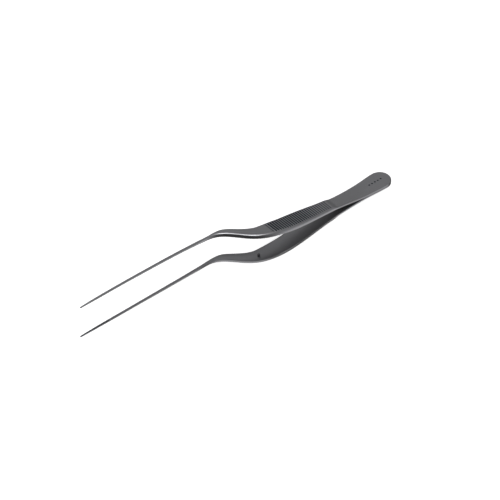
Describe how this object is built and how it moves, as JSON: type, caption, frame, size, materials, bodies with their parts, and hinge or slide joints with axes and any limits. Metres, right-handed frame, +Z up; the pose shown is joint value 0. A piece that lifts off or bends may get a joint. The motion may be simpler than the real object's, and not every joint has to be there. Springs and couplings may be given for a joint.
{
  "type": "aquascaping tweezers",
  "caption": "Bayonet-pattern steel tweezers: two spring leaves joined at a rounded heel, with serrated grips, a sideways step and long fine tips that close together.",
  "frame": {"origin": "centre of the footprint on the table, under the tweezers as they lie on the heel's end and the lower leaf's bow", "axes": "+X from the heel towards the tips, +Z up, and the blades step sideways towards -Y"},
  "size_m": [0.1602, 0.0194, 0.0259],
  "materials": {
    "leaf_steel": "satin, finely brushed, darkened stainless steel",
    "weld_steel": "weld seam ground flush and brushed",
    "pin_steel": "dark turned steel"
  },
  "bodies": {
    "heel": {"upper_heel": "leaf_steel", "lower_heel": "leaf_steel", "heel_weld": "weld_steel"},
    "upper_leaf": {"upper_arm": "leaf_steel"},
    "lower_leaf": {"lower_arm": "leaf_steel", "guide_pin": "pin_steel"}
  },
  "joints": [
    {"name": "upper_flex", "type": "hinge", "parent": "heel", "child": "upper_leaf", "pos_m": [-0.05838, 0.0048, 0.0042], "axis": [0, 1, 0], "range_deg": [0, 3.26], "stiffness_Nm_per_rad": 5.7},
    {"name": "lower_flex", "type": "hinge", "parent": "heel", "child": "lower_leaf", "pos_m": [-0.05817, 0.0048, 0.00217], "axis": [0, -1, 0], "range_deg": [0, 3.26], "stiffness_Nm_per_rad": 5.7}
  ],
  "couplings": [
    {"joint": "lower_flex", "follows": "upper_flex", "ratio": 1}
  ]
}
